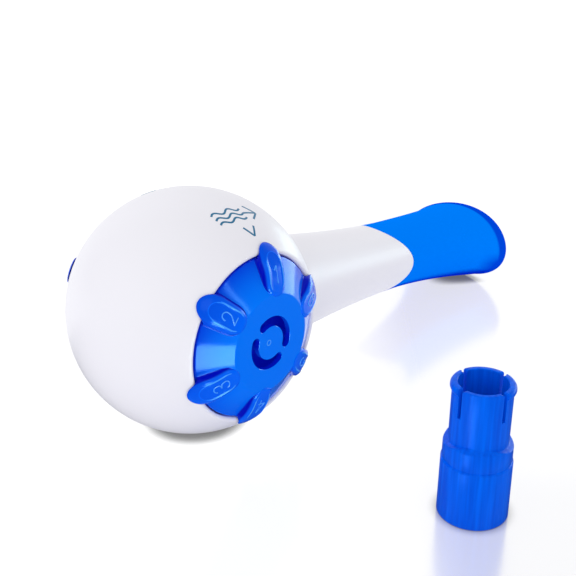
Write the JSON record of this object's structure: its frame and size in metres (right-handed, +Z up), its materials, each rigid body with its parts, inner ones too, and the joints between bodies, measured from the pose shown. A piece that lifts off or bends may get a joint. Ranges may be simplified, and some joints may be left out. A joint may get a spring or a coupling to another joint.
{
  "type": "breathing trainer",
  "caption": "Respiratory muscle trainer: ball head with numbered inhale and exhale resistance dials, handle, flared mouthpiece and snap-in adapter.",
  "frame": {"origin": "middle of the footprint, on the surface that the trainer and its adapter stand on", "axes": "+X along the handle towards the mouthpiece (seen from above), +Y towards the exhale dial, +Z up"},
  "size_m": [0.1684, 0.1174, 0.065],
  "materials": {
    "white_shell": "glossy injection-moulded ABS",
    "white_inner": "moulded polypropylene",
    "blue_dial": "glossy tinted polycarbonate",
    "blue_disc": "moulded acetal",
    "seal_rubber": "moulded nitrile rubber",
    "silicone_clear": "moulded silicone",
    "steel": "bright stainless steel",
    "washer_white": "low-friction PTFE",
    "blue_mouthpiece": "soft satin elastomer",
    "blue_adapter": "glossy moulded polypropylene"
  },
  "bodies": {
    "trainer": {"inhale_half_shell": "white_shell", "exhale_half_shell": "white_shell", "connector_socket": "white_inner", "inhale_valve_seat": "white_inner", "exhale_valve_seat": "white_inner", "inhale_seat_ring": "seal_rubber", "exhale_seat_ring": "seal_rubber", "inhale_port_gasket": "seal_rubber", "exhale_port_gasket": "seal_rubber", "inhale_valve_cage": "white_inner", "exhale_valve_cage": "white_inner", "inhale_click_spring": "steel", "exhale_click_spring": "steel"},
    "inhale_dial": {"inhale_dial": "blue_dial", "inhale_orifice_disc": "blue_disc", "inhale_pivot_screw": "steel", "inhale_pivot_washer": "washer_white"},
    "exhale_dial": {"exhale_dial": "blue_dial", "exhale_orifice_disc": "blue_disc", "exhale_pivot_screw": "steel", "exhale_pivot_washer": "washer_white"},
    "inhale_valve": {"inhale_valve_disc": "silicone_clear"},
    "exhale_valve": {"exhale_valve_disc": "silicone_clear"},
    "mouthpiece": {"mouthpiece": "blue_mouthpiece", "mouthpiece_insert": "white_inner", "neck_ring": "seal_rubber"},
    "adapter": {"adapter": "blue_adapter"}
  },
  "joints": [
    {"name": "inhale_dial_turn", "type": "hinge", "parent": "trainer", "child": "inhale_dial", "pos_m": [-0.05171, 0.00118, 0.0325], "axis": [0, -1, 0], "continuous": true, "deforming": ["inhale_click_spring"]},
    {"name": "exhale_dial_turn", "type": "hinge", "parent": "trainer", "child": "exhale_dial", "pos_m": [-0.05171, 0.05838, 0.0325], "axis": [0, 1, 0], "continuous": true, "deforming": ["exhale_click_spring"]},
    {"name": "inhale_valve_lift", "type": "slide", "parent": "trainer", "child": "inhale_valve", "axis": [0, 1, 0], "range_m": [0, 0.0009], "stiffness_N_per_m": 5},
    {"name": "exhale_valve_lift", "type": "slide", "parent": "trainer", "child": "exhale_valve", "axis": [0, 1, 0], "range_m": [0, 0.0009], "stiffness_N_per_m": 5},
    {"name": "mouthpiece_pull", "type": "slide", "parent": "trainer", "child": "mouthpiece", "axis": [0.9906, 0, -0.1366], "range_m": [0, 0.014]},
    {"name": "adapter_lift", "type": "slide", "parent": "trainer", "child": "adapter", "axis": [0, 0, 1], "range_m": [0, 0.04]}
  ]
}
